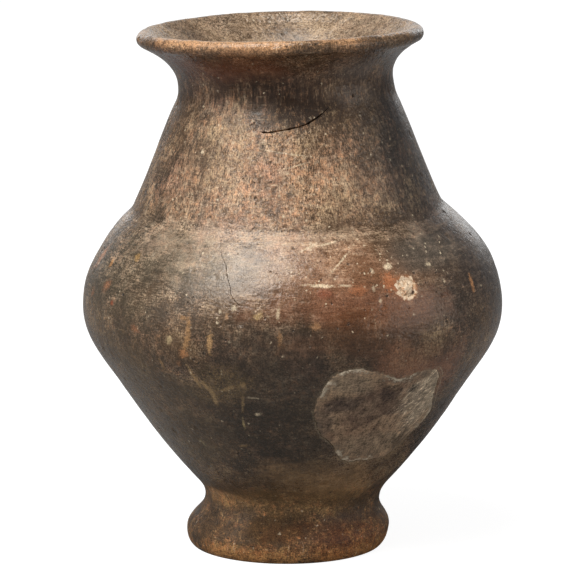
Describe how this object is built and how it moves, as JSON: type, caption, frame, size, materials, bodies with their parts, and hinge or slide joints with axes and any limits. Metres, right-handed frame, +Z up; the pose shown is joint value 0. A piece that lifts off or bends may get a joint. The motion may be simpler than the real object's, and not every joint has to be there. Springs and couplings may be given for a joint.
{
  "type": "biconical urn",
  "caption": "Hand-built biconical pottery urn with a flared foot, sloping neck, everted rim and an old repair fill in its lower wall.",
  "frame": {"origin": "on the surface that the urn stands on, under the middle of the belly", "axes": "+Z up through the mouth, -Y towards the side with the repair fill and the lime lump, +X to the right of that side"},
  "size_m": [0.2454, 0.2424, 0.3102],
  "materials": {
    "foot_clay": "worn ochre-brown earthenware, matt",
    "lower_clay": "burnished dark grey-brown earthenware with fire clouds",
    "shoulder_clay": "burnished grey-brown earthenware, wiped round",
    "neck_clay": "burnished brown earthenware with upright strokes",
    "lip_clay": "rubbed tan-orange earthenware",
    "fill_plaster": "matt grey-brown toned plaster with scrape marks",
    "lime": "pale chalky lime"
  },
  "bodies": {
    "root": {"foot_ring": "foot_clay", "floor_slab": "foot_clay", "lower_wall_strip_1": "lower_clay", "lower_wall_strip_2": "lower_clay", "lower_wall_strip_3": "lower_clay", "lower_wall_strip_4": "lower_clay", "belly_strip": "lower_clay", "shoulder_strip": "shoulder_clay", "neck_strip_1": "neck_clay", "neck_strip_2": "neck_clay", "rim_flare_strip": "neck_clay", "lip_coil": "lip_clay", "repair_fill": "fill_plaster", "lime_lump": "lime"}
  },
  "joints": []
}
